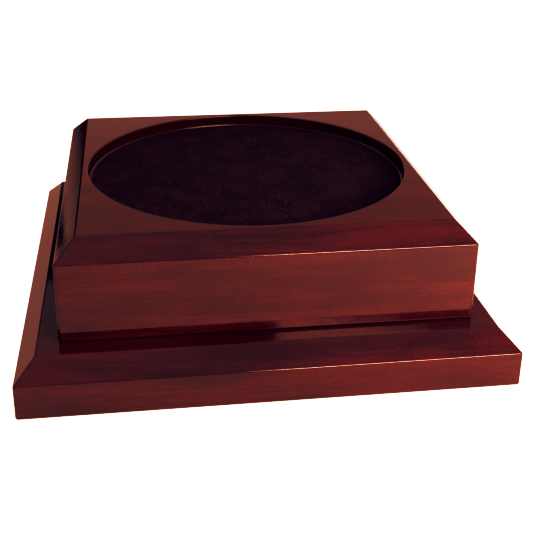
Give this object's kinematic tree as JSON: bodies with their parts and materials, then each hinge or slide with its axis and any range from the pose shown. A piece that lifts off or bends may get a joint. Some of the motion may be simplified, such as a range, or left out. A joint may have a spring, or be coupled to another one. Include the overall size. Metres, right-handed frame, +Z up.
{
  "type": "offering plate base",
  "caption": "Square two-tier lacquered wood base with bevelled tiers and a round velvet-lined recess in its top that an offering plate stands in.",
  "frame": {"origin": "on the floor, under the centre of the base", "axes": "+Z up out of the recess, +Y towards the back, +X to the right as seen from the front"},
  "size_m": [0.254, 0.254, 0.0822],
  "materials": {
    "rosewood_lacquer": "clear high-gloss polyester lacquer over dark red rosewood veneer on board, hand polished",
    "black_velvet": "short-pile velvet, near black with a purple-red cast",
    "raw_wood": "bare sawn softwood and plywood",
    "hardboard": "smooth brown hardboard",
    "base_felt": "pressed black felt",
    "screw_steel": "bright zinc plate"
  },
  "bodies": {
    "root": {"top_panel": "rosewood_lacquer", "block_wall_front": "rosewood_lacquer", "block_wall_back": "rosewood_lacquer", "block_wall_left": "rosewood_lacquer", "block_wall_right": "rosewood_lacquer", "plinth_deck": "rosewood_lacquer", "plinth_rail_front": "rosewood_lacquer", "plinth_rail_back": "rosewood_lacquer", "plinth_rail_left": "rosewood_lacquer", "plinth_rail_right": "rosewood_lacquer", "velvet_lining": "black_velvet", "block_spline_front_left": "raw_wood", "block_spline_front_right": "raw_wood", "block_spline_back_left": "raw_wood", "block_spline_back_right": "raw_wood", "corner_block_front_left": "raw_wood", "corner_block_front_right": "raw_wood", "corner_block_back_left": "raw_wood", "corner_block_back_right": "raw_wood", "plinth_spline_front_left": "raw_wood", "plinth_spline_front_right": "raw_wood", "plinth_spline_back_left": "raw_wood", "plinth_spline_back_right": "raw_wood", "base_panel": "hardboard", "base_felt": "base_felt", "base_panel_screws": "screw_steel", "tier_screws": "screw_steel", "tier_washers": "screw_steel"}
  },
  "joints": []
}
